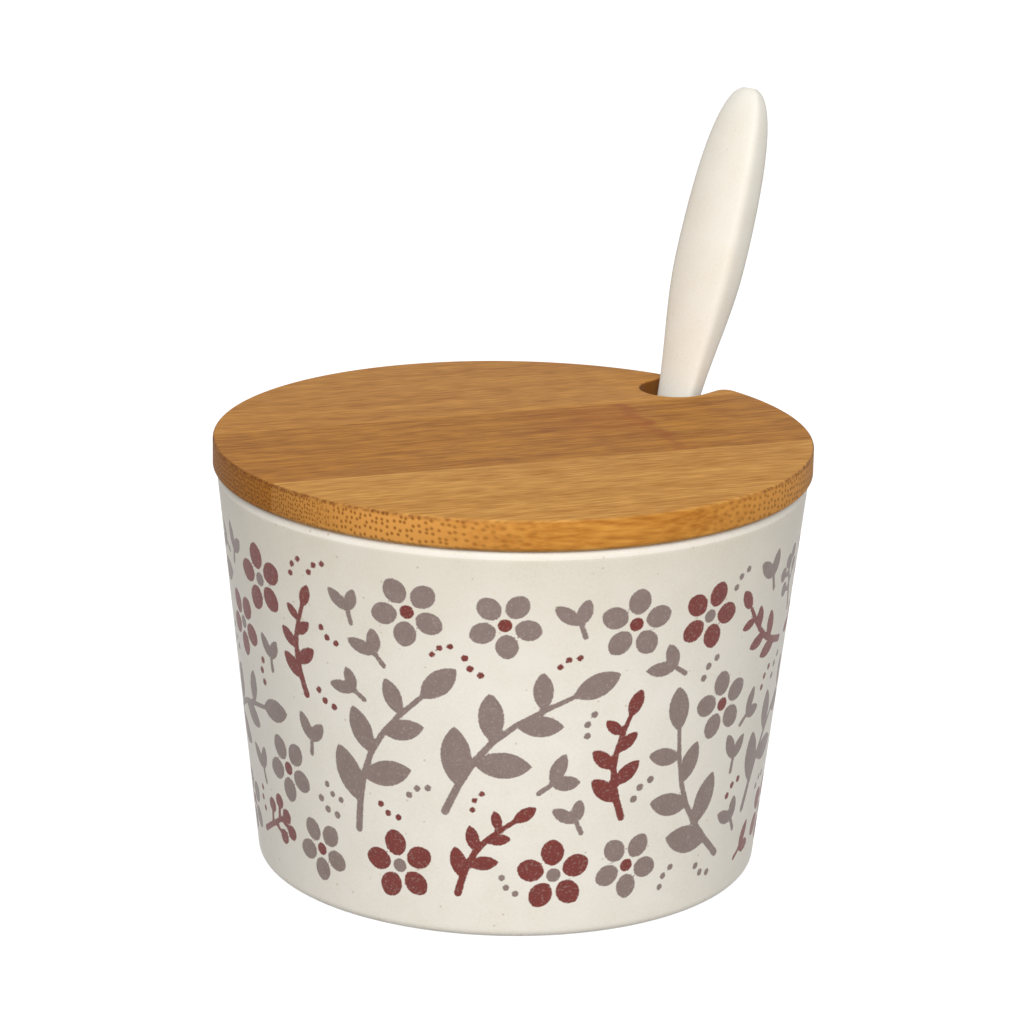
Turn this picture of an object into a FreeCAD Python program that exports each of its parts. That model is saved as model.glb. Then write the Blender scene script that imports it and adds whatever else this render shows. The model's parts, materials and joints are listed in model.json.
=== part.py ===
import FreeCAD, Part
import os
import Sketcher

# Honey dish: a tapered moulded bowl, a lid turned from glued bamboo staves, and a spoon that stands in
# the bowl with its handle through a notch at the lid's edge.
# Millimetres, +Z up, front towards -Y. The origin is under the middle of the bowl, on the table.

SIZES = {
    # Bowl
    "rim_radius": 54.7,
    "base_radius": 46.4,
    "rim_height": 75.1,
    "wall_thickness": 4.0,
    "floor_thickness": 3.5,
    "foot_recess": 1.5,
    "foot_width": 8.0,
    "rim_chamfer": 0.5,
    "outer_bottom_fillet": 2.6,
    "inner_bottom_chamfer": 5.0,
    # Lid
    "lid_overhang": 0.7,
    "lid_thickness": 5.75,
    "lid_top_chamfer": 0.4,
    "lid_bevel_inset": 0.5,
    "lid_bevel_height": 0.7,
    "plug_depth": 3.0,
    "plug_clearance": 0.6,
    "plug_chamfer": 0.5,
    "notch_azimuth": 49.9,
    "notch_side_clearance": 2.8,
    "notch_end_clearance": 4.7,
    "notch_mouth_fillet": 2.0,
    "grain_azimuth": 20.5,
    "front_glue_line": 18.3,
    "rear_glue_line": 15.5,
    # Spoon, with its stations measured along the handle from the toe of the scoop
    "spoon_length": 138.9,
    "scoop_length": 40.0,
    "scoop_width": 26.0,
    "scoop_depth": 6.0,
    "scoop_wall": 2.2,
    "scoop_lip": 1.3,
    "heel_width": 13.6,
    "neck_start": 54.0,
    "neck_end": 72.0,
    "neck_width": 8.0,
    "neck_thickness": 4.8,
    "belly_station": 106.0,
    "belly_width": 13.9,
    "belly_thickness": 8.8,
    "toe_radius": 24.2,
    "spoon_floor_clearance": 0.3,
    "spoon_rim_clearance": 0.4,
}

# Heights and radii that several pieces share
FLOOR_HEIGHT = "(sizes.foot_recess + sizes.floor_thickness)"
TAPER = "((sizes.rim_radius - sizes.base_radius) / sizes.rim_height)"
MOUTH_RADIUS = "(sizes.rim_radius - sizes.wall_thickness)"
FOOT_INNER_RADIUS = "(sizes.base_radius - sizes.outer_bottom_fillet - sizes.foot_width)"
LID_RADIUS = "(sizes.rim_radius + sizes.lid_overhang)"
LID_TOP = "(sizes.rim_height + sizes.lid_thickness)"
PLUG_BOTTOM = "(sizes.rim_height - sizes.plug_depth)"
PLUG_RADIUS = f"({MOUTH_RADIUS} - {TAPER} * sizes.plug_depth - sizes.plug_clearance)"
NOTCH_HALF_WIDTH = "(sizes.neck_width / 2 + sizes.notch_side_clearance)"
NOTCH_DEPTH = (
    "(sizes.lid_overhang + sizes.wall_thickness + sizes.neck_thickness + sizes.notch_end_clearance)"
)

# The spoon leans until the back of its neck lies a clearance away from the inner edge of the rim, where
# the rim's chamfer ends
TOE_HEIGHT = f"({FLOOR_HEIGHT} + sizes.spoon_floor_clearance)"
EDGE_REACH = f"({MOUTH_RADIUS} - sizes.toe_radius)"
EDGE_RISE = f"(sizes.rim_height - sizes.rim_chamfer - {TOE_HEIGHT})"
EDGE_OFFSET = "(sizes.neck_thickness / 2 + sizes.spoon_rim_clearance)"
SPOON_LEAN = (
    f"(acos({EDGE_OFFSET} / sqrt({EDGE_REACH} ^ 2 + {EDGE_RISE} ^ 2)) - atan2({EDGE_RISE}; {EDGE_REACH}))"
)

# Shape of a handle section, as shares of its thickness: how far its corners lie from the middle plane,
# and how much its sides bulge. The lip of the scoop bulges by a share of its own thickness.
CORNER_SHARE = 0.335
SIDE_BULGE_SHARE = 0.035
LIP_BULGE_SHARE = 0.08
# Angles that carry a section, in degrees: round the scoop's oval outline from the toe, and round the
# end of the handle from its widest place
SCOOP_ANGLES = range(10, 137, 14)
END_ANGLES = (16, 32, 48, 62, 74, 83)
# Sections between the neck and the widest place of the handle
SWELL_SECTIONS = 6
# Power of the rounded outline of the handle's end, where 2 is an ellipse
END_FULLNESS = 2.55

TOLERANCE = 0.01


def make_sheet(document):
    """Adds the spreadsheet with the driving dimensions."""
    sheet = document.addObject("Spreadsheet::Sheet", "sizes")
    for row, (name, size) in enumerate(SIZES.items(), start=1):
        sheet.set(f"A{row}", name)
        sheet.set(f"B{row}", str(size))
        sheet.setAlias(f"B{row}", name)
    document.recompute()
    return sheet


def number(expression):
    """Gives the present value of an expression of the sheet's sizes, with angles in degrees."""
    result = sizes.evalExpression(str(expression))
    return float(getattr(result, "Value", result))


def add_sketch(body, name, role):
    """Adds a sketch on one of the body's own origin planes."""
    plane = next(p for p in body.Origin.OriginFeatures if p.Role == role)
    sketch = body.newObject("Sketcher::SketchObject", name)
    sketch.AttachmentSupport = (plane, [""])
    sketch.MapMode = "FlatFace"
    return sketch


def hold_point(sketch, geometry, end, across, up):
    """Ties a point of a sketch to the expressions of its two coordinates."""
    for kind, axis, expression in (("DistanceX", -2, across), ("DistanceY", -1, up)):
        size = number(expression)
        if abs(size) < TOLERANCE:
            sketch.addConstraint(Sketcher.Constraint("PointOnObject", geometry, end, axis))
        else:
            index = sketch.addConstraint(Sketcher.Constraint(kind, -1, 1, geometry, end, size))
            sketch.setExpression(f"Constraints[{index}]", str(expression))


def ends_at(sketch, geometry, point):
    """Tells which end of a curve of a sketch lies at a point."""
    start = sketch.getPoint(geometry, 1)
    return 1 if (start - point).Length < TOLERANCE else 2


def closed_outline(sketch, corners, bulges=None):
    """Draws a closed outline through corners given as pairs of expressions.

    Where bulges gives a pair for a side, that side is an arc through it, and otherwise a line.
    """
    bulges = bulges or [None] * len(corners)
    points = [FreeCAD.Vector(number(x), number(y), 0) for x, y in corners]
    sides = []
    for index, point in enumerate(points):
        following = points[(index + 1) % len(points)]
        if bulges[index] is None:
            side = sketch.addGeometry(Part.LineSegment(point, following))
        else:
            middle = FreeCAD.Vector(*(number(value) for value in bulges[index]), 0)
            side = sketch.addGeometry(Part.Arc(point, middle, following))
            mark = sketch.addGeometry(Part.Point(middle), True)
            sketch.addConstraint(Sketcher.Constraint("PointOnObject", mark, 1, side))
            hold_point(sketch, mark, 1, *bulges[index])
        sides.append(side)
    for index, point in enumerate(points):
        end = ends_at(sketch, sides[index], point)
        before = sides[index - 1]
        joined = Sketcher.Constraint("Coincident", sides[index], end, before, ends_at(sketch, before, point))
        sketch.addConstraint(joined)
        hold_point(sketch, sides[index], end, *corners[index])


def revolve(body, sketch):
    """Turns a sketch on the XZ plane round the Z axis."""
    turned = body.newObject("PartDesign::Revolution", f"{body.Name}_turned")
    turned.Profile = sketch
    turned.ReferenceAxis = (sketch, ["V_Axis"])
    turned.Angle = 360
    body.Document.recompute()
    return turned


def ring_edges(feature, radius, height):
    """Names the circular edges of a turned feature that have this radius at this height."""
    names = []
    for index, edge in enumerate(feature.Shape.Edges, start=1):
        box = edge.BoundBox
        level = box.ZLength < TOLERANCE and abs(box.ZMin - number(height)) < TOLERANCE
        if level and abs(box.XMax - number(radius)) < TOLERANCE:
            names.append(f"Edge{index}")
    return names


def soften_edges(body, feature, edges, size):
    """Fillets or chamfers edges of a feature, as the name of a size of the sheet says."""
    if size.endswith("fillet"):
        softened = body.newObject("PartDesign::Fillet", f"{body.Name}_{size}")
        measure = "Radius"
    else:
        softened = body.newObject("PartDesign::Chamfer", f"{body.Name}_{size}")
        measure = "Size"
    softened.Base = (feature, edges)
    softened.setExpression(measure, f"sizes.{size}")
    body.Document.recompute()
    return softened


def make_bowl(document):
    """The bowl: a tapered wall on a flat floor, with a recess under it that leaves a foot ring."""
    body = document.addObject("PartDesign::Body", "bowl")
    sketch = add_sketch(body, "bowl_profile", "XZ_Plane")
    inner_base_radius = f"(sizes.base_radius + {TAPER} * {FLOOR_HEIGHT} - sizes.wall_thickness)"
    closed_outline(
        sketch,
        [
            ("0", "sizes.foot_recess"),
            (f"{FOOT_INNER_RADIUS} - sizes.foot_recess", "sizes.foot_recess"),
            (FOOT_INNER_RADIUS, "0"),
            ("sizes.base_radius", "0"),
            ("sizes.rim_radius", "sizes.rim_height"),
            (MOUTH_RADIUS, "sizes.rim_height"),
            (inner_base_radius, FLOOR_HEIGHT),
            ("0", FLOOR_HEIGHT),
        ],
    )
    feature = revolve(body, sketch)
    corners = (
        ("inner_bottom_chamfer", [(inner_base_radius, FLOOR_HEIGHT)]),
        ("outer_bottom_fillet", [("sizes.base_radius", "0")]),
        ("rim_chamfer", [("sizes.rim_radius", "sizes.rim_height"), (MOUTH_RADIUS, "sizes.rim_height")]),
    )
    for size, rings in corners:
        edges = [name for ring in rings for name in ring_edges(feature, *ring)]
        feature = soften_edges(body, feature, edges, size)
    return body


def make_lid_blank(document):
    """The turned disc of the lid, with the plug that centres it in the mouth and the spoon's notch."""
    body = document.addObject("PartDesign::Body", "lid_blank")
    sketch = add_sketch(body, "lid_profile", "XZ_Plane")
    seat_radius = f"({LID_RADIUS} - sizes.lid_bevel_inset)"
    closed_outline(
        sketch,
        [
            ("0", PLUG_BOTTOM),
            (PLUG_RADIUS, PLUG_BOTTOM),
            (PLUG_RADIUS, "sizes.rim_height"),
            (seat_radius, "sizes.rim_height"),
            (LID_RADIUS, "sizes.rim_height + sizes.lid_bevel_height"),
            (LID_RADIUS, LID_TOP),
            ("0", LID_TOP),
        ],
    )
    feature = revolve(body, sketch)
    for size, ring in (
        ("lid_top_chamfer", (LID_RADIUS, LID_TOP)),
        ("plug_chamfer", (PLUG_RADIUS, PLUG_BOTTOM)),
    ):
        feature = soften_edges(body, feature, ring_edges(feature, *ring), size)
    cut_notch(body)
    return body


def cut_notch(body):
    """Cuts the U-shaped notch through the edge of the lid, with rounded corners at its mouth."""
    sketch = add_sketch(body, "notch_outline", "XY_Plane")
    sketch.setExpression("AttachmentOffset.Rotation.Angle", "sizes.notch_azimuth")
    round_centre = f"({LID_RADIUS} - {NOTCH_DEPTH} + {NOTCH_HALF_WIDTH})"
    past_edge = f"({LID_RADIUS} + {NOTCH_HALF_WIDTH})"
    closed_outline(
        sketch,
        [
            (round_centre, f"-{NOTCH_HALF_WIDTH}"),
            (past_edge, f"-{NOTCH_HALF_WIDTH}"),
            (past_edge, NOTCH_HALF_WIDTH),
            (round_centre, NOTCH_HALF_WIDTH),
        ],
        [None, None, None, (f"{LID_RADIUS} - {NOTCH_DEPTH}", "0")],
    )
    whole_volume = body.Shape.Volume
    pocket = body.newObject("PartDesign::Pocket", "notch")
    pocket.Profile = sketch
    pocket.Type = "ThroughAll"
    pocket.Reversed = True
    body.Document.recompute()
    if pocket.Shape.Volume >= whole_volume:
        raise RuntimeError("the notch cuts nothing")
    upright = [
        f"Edge{index}"
        for index, edge in enumerate(pocket.Shape.Edges, start=1)
        if edge.BoundBox.XLength < TOLERANCE
        and edge.BoundBox.YLength < TOLERANCE
        and abs(edge.CenterOfMass.cross(FreeCAD.Vector(0, 0, 1)).Length - number(LID_RADIUS)) < TOLERANCE
    ]
    soften_edges(body, pocket, upright, "notch_mouth_fillet")


def make_stave(document, name, near, far):
    """One stave of the lid: what the blank holds between two lines along the grain.

    Args:
        name: The stave's own name.
        near: Expression of the line on its front side, measured from the lid's centre.
        far: Expression of the line on its rear side.
    """
    slab = document.addObject("Part::Box", f"{name}_slab")
    slab.setExpression("Length", f"2 * {LID_RADIUS}")
    slab.setExpression("Width", f"{far} - ({near})")
    slab.setExpression("Height", f"{LID_TOP} - {PLUG_BOTTOM}")
    turn = "create(<<rotation>>; create(<<vector>>; 0; 0; 1); sizes.grain_azimuth)"
    corner = f"create(<<vector>>; -{LID_RADIUS}; {near}; {PLUG_BOTTOM})"
    slab.setExpression("Placement", f"create(<<placement>>; {turn} * {corner}; {turn})")
    stave = document.addObject("Part::Common", name)
    stave.Base = document.getObject("lid_blank")
    stave.Tool = slab
    return stave


def spoon_sections():
    """Lists the spoon's sections from toe to handle end, each as a dictionary of expressions.

    The local X axis points out of the back of the spoon, and Y across it. front and back are where the
    middle of the two faces lies, front_edge and back_edge where their corners lie, and side is how far the
    sides bulge.
    """
    sections = []

    def solid(station, width, thickness):
        sections.append(
            {
                "station": station,
                "half": f"({width}) / 2",
                "side": f"{SIDE_BULGE_SHARE} * ({thickness})",
                "front": f"-({thickness}) / 2",
                "front_edge": f"-{CORNER_SHARE} * ({thickness})",
                "back_edge": f"{CORNER_SHARE} * ({thickness})",
                "back": f"({thickness}) / 2",
            }
        )

    def dished(station, width, depth):
        lip = "sizes.scoop_lip"
        sections.append(
            {
                "station": station,
                "half": f"({width}) / 2",
                "side": f"{LIP_BULGE_SHARE} * {lip}",
                "front": f"({depth}) - {lip}",
                "front_edge": f"-{lip}",
                "back_edge": "0",
                "back": f"({depth}) - {lip} + sizes.scoop_wall",
            }
        )

    for angle in SCOOP_ANGLES:
        oval = f"sin({angle} deg)"
        dished(
            f"sizes.scoop_length / 2 * (1 - cos({angle} deg))",
            f"sizes.scoop_width * {oval}",
            f"sizes.scoop_depth * {oval} ^ 2",
        )
    heel_to_neck = "(sizes.neck_start - sizes.scoop_length)"
    dished("sizes.scoop_length", "sizes.heel_width", "sizes.scoop_lip")
    solid(
        f"sizes.scoop_length + {heel_to_neck} / 2",
        "sizes.neck_width + (sizes.heel_width - sizes.neck_width) / 4",
        "sizes.neck_thickness",
    )
    solid("sizes.neck_start", "sizes.neck_width", "sizes.neck_thickness")
    solid("sizes.neck_end", "sizes.neck_width", "sizes.neck_thickness")
    for step in range(1, SWELL_SECTIONS + 1):
        share = f"({step} / {SWELL_SECTIONS})"
        swell = f"(1 - cos({share} * 180 deg)) / 2"
        solid(
            f"sizes.neck_end + {share} * (sizes.belly_station - sizes.neck_end)",
            f"sizes.neck_width + (sizes.belly_width - sizes.neck_width) * {swell}",
            f"sizes.neck_thickness + (sizes.belly_thickness - sizes.neck_thickness) * {swell}",
        )
    for angle in END_ANGLES:
        share = f"sin({angle} deg)"
        taper = f"(1 - {share} ^ {END_FULLNESS}) ^ (1 / {END_FULLNESS})"
        solid(
            f"sizes.belly_station + {share} * (sizes.spoon_length - sizes.belly_station)",
            f"sizes.belly_width * {taper}",
            f"sizes.belly_thickness * {taper}",
        )
    return sections


def draw_section(sketch, section):
    """Draws a spoon section as four arcs: the front face, one side, the back and the other side."""
    front, back, half = section["front_edge"], section["back_edge"], section["half"]
    corner = f"({half} - {section['side']})"
    middle = f"({front} + {back}) / 2"
    closed_outline(
        sketch,
        [(front, f"-{corner}"), (front, corner), (back, corner), (back, f"-{corner}")],
        [(section["front"], "0"), (middle, half), (section["back"], "0"), (middle, f"-({half})")],
    )


def make_spoon(document):
    """The spoon: one loft from the dished scoop through the flat neck to the swelling handle."""
    body = document.addObject("PartDesign::Body", "spoon")
    sketches = []
    for index, section in enumerate(spoon_sections()):
        sketch = add_sketch(body, f"spoon_section_{index:02d}", "XY_Plane")
        sketch.setExpression("AttachmentOffset.Base.z", section["station"])
        draw_section(sketch, section)
        sketches.append(sketch)
    document.recompute()
    loft = body.newObject("PartDesign::AdditiveLoft", "spoon_loft")
    loft.Profile = sketches[0]
    loft.Sections = [(sketch, [""]) for sketch in sketches[1:]]
    loft.Ruled = True
    toe = (
        f"create(<<vector>>; sizes.toe_radius * cos(sizes.notch_azimuth * 1 deg);"
        f" sizes.toe_radius * sin(sizes.notch_azimuth * 1 deg); {TOE_HEIGHT})"
    )
    lean = f"create(<<rotation>>; sizes.notch_azimuth; {SPOON_LEAN}; 0)"
    body.setExpression("Placement", f"create(<<placement>>; {toe}; {lean})")
    return body


def check(document, parts):
    """Stops if an object failed to compute or a sub-part has no valid single solid."""
    for item in document.Objects:
        if "Invalid" in item.State or "Error" in item.State:
            raise RuntimeError(f"{item.Name} failed: {item.State}")
    for part in parts:
        shape = part.Shape
        if shape.isNull() or not shape.isValid() or len(shape.Solids) != 1:
            raise RuntimeError(f"{part.Label} has no valid single solid")


document = FreeCAD.newDocument("honey_dish")
sizes = make_sheet(document)
bowl = make_bowl(document)
make_lid_blank(document)
staves = [
    make_stave(document, "lid_front_stave", f"-{LID_RADIUS}", "-sizes.front_glue_line"),
    make_stave(document, "lid_middle_stave", "-sizes.front_glue_line", "sizes.rear_glue_line"),
    make_stave(document, "lid_rear_stave", "sizes.rear_glue_line", LID_RADIUS),
]
spoon = make_spoon(document)
document.recompute()

parts = [bowl, *staves, spoon]
check(document, parts)
os.makedirs("parts", exist_ok=True)
for part in parts:
    part.Label = part.Name
    part.Shape.exportStep(f"parts/{part.Label}.step")
    print(part.Label, f"{part.Shape.Volume:.1f} mm3", part.Shape.BoundBox)
print(f"spoon leans {number(SPOON_LEAN):.3f} degrees")
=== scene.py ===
"""Looks of a honey dish: a printed bowl of moulded fibre, a lid of glued bamboo staves and a spoon."""
import json
import logging
import math
import random
from collections.abc import Iterable, Sequence
from dataclasses import dataclass, field
from enum import Enum

import bmesh
import bpy
import numpy as np
from mathutils import Matrix, Vector


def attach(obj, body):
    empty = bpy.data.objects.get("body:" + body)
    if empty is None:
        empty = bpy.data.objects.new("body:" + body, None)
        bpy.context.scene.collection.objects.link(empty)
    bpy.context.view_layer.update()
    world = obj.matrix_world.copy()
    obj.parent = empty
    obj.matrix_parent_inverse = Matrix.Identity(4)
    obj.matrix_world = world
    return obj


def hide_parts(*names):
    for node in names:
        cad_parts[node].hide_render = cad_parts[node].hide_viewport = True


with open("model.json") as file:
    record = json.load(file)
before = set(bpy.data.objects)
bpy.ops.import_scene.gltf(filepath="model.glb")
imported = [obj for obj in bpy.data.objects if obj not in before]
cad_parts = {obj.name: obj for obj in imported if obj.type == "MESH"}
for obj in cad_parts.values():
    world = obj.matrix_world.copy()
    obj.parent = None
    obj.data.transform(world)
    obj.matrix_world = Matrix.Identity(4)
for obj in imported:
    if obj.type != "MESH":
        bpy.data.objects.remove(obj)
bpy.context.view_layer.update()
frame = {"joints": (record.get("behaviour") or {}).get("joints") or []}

Tree = bpy.types.NodeTree
Socket = bpy.types.NodeSocket
Draft = bmesh.types.BMesh
Loop = list[bmesh.types.BMVert]
Pair = tuple[float, float]
Place = tuple[float, float, float]

LOG = logging.getLogger("honey_dish")
MM = 0.001
FULL_TURN = 2 * math.pi
QUARTER_TURN = math.pi / 2


def linear(colour: str) -> Sequence[float]:
    """Turns an sRGB colour to linear light.

    Args:
        colour: A hash sign and six hex digits.

    Returns:
        Red, green, blue and a full alpha.
    """
    shares = [int(colour[start:start + 2], 16) / 255 for start in (1, 3, 5)]
    light = [s / 12.92 if s <= 0.04045 else ((s + 0.055) / 1.055) ** 2.4 for s in shares]
    return (*light, 1.0)


def add_node(
    tree: Tree, kind: str, feeds: dict | Sequence = (), output: int | str = 0, **settings: object
) -> Socket | None:
    """Adds a shader node with its settings and links.

    Args:
        tree: Node tree that takes the node.
        kind: The node's type, without the word ShaderNode.
        feeds: What the inputs take, in their order, or by name or place: values, colours as hex digits,
            or other nodes' outputs.
        output: Name or place of the output to return.
        settings: Properties of the node.

    Returns:
        The chosen output, or None where the node has none.
    """
    node = tree.nodes.new("ShaderNode" + kind)
    for name, value in settings.items():
        setattr(node, name, value)
    for place, value in feeds.items() if isinstance(feeds, dict) else enumerate(feeds):
        if isinstance(value, Socket):
            tree.links.new(value, node.inputs[place])
        else:
            node.inputs[place].default_value = linear(value) if isinstance(value, str) else value
    return node.outputs[output] if node.outputs else None


class Blend(Enum):
    """How a layer of colour acts on what is below it."""

    COVER = "MIX"
    DEEPEN = "MULTIPLY"


def lay_over(
    tree: Tree, ground: Socket | str, *layers: tuple[Socket | str, ...], blend: Blend = Blend.COVER
) -> Socket:
    """Lays layers of colour over a ground, one after another.

    Args:
        tree: Node tree of the material.
        ground: The colour below them all.
        layers: The colour of each, then the shares whose product says how far it covers.
        blend: How they act on what is below them.

    Returns:
        The colour on top.
    """
    for colour, share, *others in layers:
        for other in others:
            share = add_node(tree, "Math", (share, other), operation="MULTIPLY")
        # The node takes the share at 0 and the two colours at 6 and 7, and gives their mix at 2
        feeds = {0: share, 6: ground, 7: colour}
        ground = add_node(tree, "Mix", feeds, 2, data_type="RGBA", blend_type=blend.value)
    return ground


def own_place(tree: Tree) -> Socket:
    """Gives the piece's own coordinates in millimetres."""
    own = add_node(tree, "TexCoord", output="Object")
    return add_node(tree, "VectorMath", {0: own, "Scale": 1 / MM}, operation="SCALE")


def seen_directly(tree: Tree) -> Socket:
    """Tells the rays of camera, mirror and glass from those that carry light.

    Args:
        tree: Node tree of the material or the surround.

    Returns:
        1 for the first and 0 for the others.
    """
    path = add_node(tree, "LightPath").node.outputs
    shown = add_node(tree, "Math", (path["Is Camera Ray"], path["Is Glossy Ray"]), operation="MAXIMUM")
    return add_node(tree, "Math", (shown, path["Is Transmission Ray"]), operation="MAXIMUM")


@dataclass(frozen=True)
class Finish:
    """A finish that builds one material."""

    name: str

    def build(self) -> bpy.types.Material:
        """Makes the material.

        Returns:
            A material with the finish's own surface.
        """
        material = bpy.data.materials.new(self.name)
        material.use_nodes = True
        tree = material.node_tree
        tree.nodes.clear()
        add_node(tree, "OutputMaterial", {"Surface": self.surface(tree)})
        return material

    def surface(self, tree: Tree) -> Socket:
        """Gives the shader of the surface."""
        raise NotImplementedError


@dataclass(frozen=True)
class PaperFloor(Finish):
    """Matt white studio paper: it shows white to the camera and keeps the object's shadow."""

    paper: float = 0.32
    glow: float = 0.93

    def surface(self, tree: Tree) -> Socket:
        """Gives plain paper to the light, and nearly even white to what looks at it.

        Args:
            tree: Node tree of the material.

        Returns:
            The shader.
        """
        plain = add_node(tree, "BsdfDiffuse", {"Color": (self.paper,) * 3 + (1.0,)})
        glowing = add_node(tree, "AddShader", (plain, add_node(tree, "Emission", {"Strength": self.glow})))
        return add_node(tree, "MixShader", (seen_directly(tree), plain, glowing))


@dataclass(frozen=True)
class Opaque(Finish):
    """An opaque finish: a colour and a fine relief, in millimetres, under one sheen."""

    roughness: float = 0.5
    sheen: float = 0.5
    ior: float = 1.5
    relief: float = 0.05
    relief_strength: float = 0.12

    def layers(self, tree: Tree) -> tuple[Socket, Socket]:
        """Gives the colour and the height of the relief."""
        raise NotImplementedError

    def surface(self, tree: Tree) -> Socket:
        """Gives the shader of the colour and the relief.

        Args:
            tree: Node tree of the material.

        Returns:
            The shader.
        """
        colour, height = self.layers(tree)
        bump = {"Height": height, "Strength": self.relief_strength, "Distance": self.relief * MM}
        coat = {
            "Base Color": colour,
            "Roughness": self.roughness,
            "IOR": self.ior,
            "Specular IOR Level": self.sheen,
            "Normal": add_node(tree, "Bump", bump),
        }
        return add_node(tree, "BsdfPrincipled", coat)


@dataclass(frozen=True)
class MouldedFibre(Opaque):
    """Bamboo fibre and resin, pressed hot in a polished mould. Lengths are in millimetres.

    The eye sees a satin cream with soft clouds, a fine grain, and a few tan flecks where fibre lies bare.
    """

    colour: str = "#F5EFE4"
    cloud: str = "#EEE7D8"
    fleck: str = "#C9B697"
    cloud_size: float = 7.0
    cloud_range: Pair = (0.12, 0.42)
    # Real grain is finer: it is drawn as coarse as it needs to show
    grain_size: float = 0.45
    fleck_spacing: float = 1.6
    fleck_share: float = 0.14
    fleck_edge: Pair = (0.08, 0.2)
    fleck_strength: float = 0.6
    roughness: float = 0.46

    def body_colour(self, tree: Tree, place: Socket) -> Socket:
        """Gives the colour of the bare moulding.

        Args:
            tree: Node tree of the material.
            place: The piece's own coordinates in millimetres.

        Returns:
            The colour, with clouds and flecks.
        """
        clouds = add_node(tree, "TexNoise", {"Vector": place, "Scale": 1 / self.cloud_size, "Detail": 3.0})
        grain = add_node(tree, "TexNoise", {"Vector": place, "Scale": 1 / self.grain_size, "Detail": 2.0})
        mottle = add_node(tree, "Math", (clouds, grain), operation="MULTIPLY")
        veil = add_node(tree, "MapRange", (mottle, *self.cloud_range))
        cells = add_node(tree, "TexVoronoi", {"Vector": place, "Scale": 1 / self.fleck_spacing})
        chance = add_node(tree, "SeparateColor", (cells.node.outputs["Color"],))
        chosen = add_node(tree, "Math", (chance, 1 - self.fleck_share), operation="GREATER_THAN")
        spot = add_node(tree, "MapRange", (cells, *self.fleck_edge, self.fleck_strength, 0.0))
        return lay_over(tree, self.colour, (self.cloud, veil), (self.fleck, spot, chosen))

    def printed(self, tree: Tree, place: Socket, body: Socket) -> Socket:
        """Gives the colour with any print laid over it; bare moulding has none."""
        return body

    def layers(self, tree: Tree) -> tuple[Socket, Socket]:
        """Gives the colour and the fine tooth of the mould.

        Args:
            tree: Node tree of the material.

        Returns:
            The colour and the height of the tooth.
        """
        place = own_place(tree)
        tooth = add_node(tree, "TexNoise", {"Vector": place, "Scale": 1 / self.grain_size, "Detail": 3.0})
        return self.printed(tree, place, self.body_colour(tree, place)), tooth


class Ink(Enum):
    """The two inks of the print, named as the mesh attributes that hold their distances."""

    RED = "red_print"
    GREY = "grey_print"


@dataclass(frozen=True, kw_only=True)
class PrintedMoulding(MouldedFibre):
    """The same moulding with a printed sheet pressed into its wall.

    The inks lie flush and matt. Their edges wander a little over the fibre, and pale grain shows through.
    Painted shade darkens the sheet towards its top edge, under the lid, so the bare lip above it looks
    whiter.
    """

    sheet_top: float
    red: str = "#7B2B20"
    red_deep: str = "#652018"
    grey: str = "#917E77"
    grey_deep: str = "#7F6C66"
    # Painted shade: the sheet is darkened towards its top edge, for the shadow under the lid
    painted_top_shade: str = "#F2F0EB"
    painted_shade_depth: float = 26.0
    tint_size: float = 1.7
    edge_wander: float = 0.3
    edge_softness: float = 0.09
    grain_range: Pair = (0.55, 0.75)
    grain_show: float = 0.16

    def printed(self, tree: Tree, place: Socket, body: Socket) -> Socket:
        """Gives the colour with both inks laid over the moulding.

        Args:
            tree: Node tree of the material.
            place: The piece's own coordinates in millimetres.
            body: Colour of the bare moulding.

        Returns:
            The colour.
        """
        rough = add_node(tree, "TexNoise", {"Vector": place, "Scale": 1 / self.grain_size, "Detail": 2.0})
        wander = add_node(tree, "MapRange", (rough, 0.0, 1.0, -self.edge_wander / 2, self.edge_wander / 2))
        worn = add_node(tree, "MapRange", (rough, *self.grain_range, 1.0, 1 - self.grain_show))
        tint = add_node(tree, "TexNoise", {"Vector": place, "Scale": 1 / self.tint_size, "Detail": 3.0})
        up = add_node(tree, "SeparateXYZ", (place,)).node.outputs["Z"]
        # Painted shade: darkens the sheet over its top stretch, up to its top edge
        painted_shade_share = add_node(tree, "MapRange", (up, self.sheet_top - self.painted_shade_depth, self.sheet_top))
        below_edge = add_node(tree, "Math", (up, self.sheet_top), operation="LESS_THAN")
        colour = lay_over(tree, body, (self.painted_top_shade, painted_shade_share, below_edge), blend=Blend.DEEPEN)
        inks = ((Ink.GREY, self.grey, self.grey_deep), (Ink.RED, self.red, self.red_deep))
        for ink, light, deep in inks:
            distance = add_node(tree, "Attribute", output="Fac", attribute_name=ink.value)
            edge = add_node(tree, "Math", (distance, wander), operation="ADD")
            inside = add_node(tree, "MapRange", (edge, -self.edge_softness, self.edge_softness, 1.0, 0.0))
            film = lay_over(tree, light, (deep, tint))
            colour = lay_over(tree, colour, (film, inside, worn))
        return colour


@dataclass(frozen=True)
class CulmNode:
    """A culm's node on a stave: a reddish wavy line with a dusky, streaky patch before it.

    Lengths are in millimetres. Places along the grain count from the line, and places across it from the
    lid's middle.
    """

    along: float
    line: str = "#9A5222"
    line_reach: Pair = (0.3, 2.2)
    line_strength: float = 0.5
    wave_size: float = 4.5
    wave_height: float = 8.0
    dusk: str = "#9C5212"
    dusk_rise: Pair = (-26.0, -4.0)
    dusk_fall: Pair = (-1.0, 1.5)
    dusk_across: float = 5.0
    dusk_reach: Pair = (4.0, 15.0)
    dusk_edge: float = 0.15
    streak_length: float = 8.0
    streak_width: float = 0.9
    streak_range: Pair = (0.38, 0.6)
    streak_strength: Pair = (0.1, 0.7)


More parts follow.
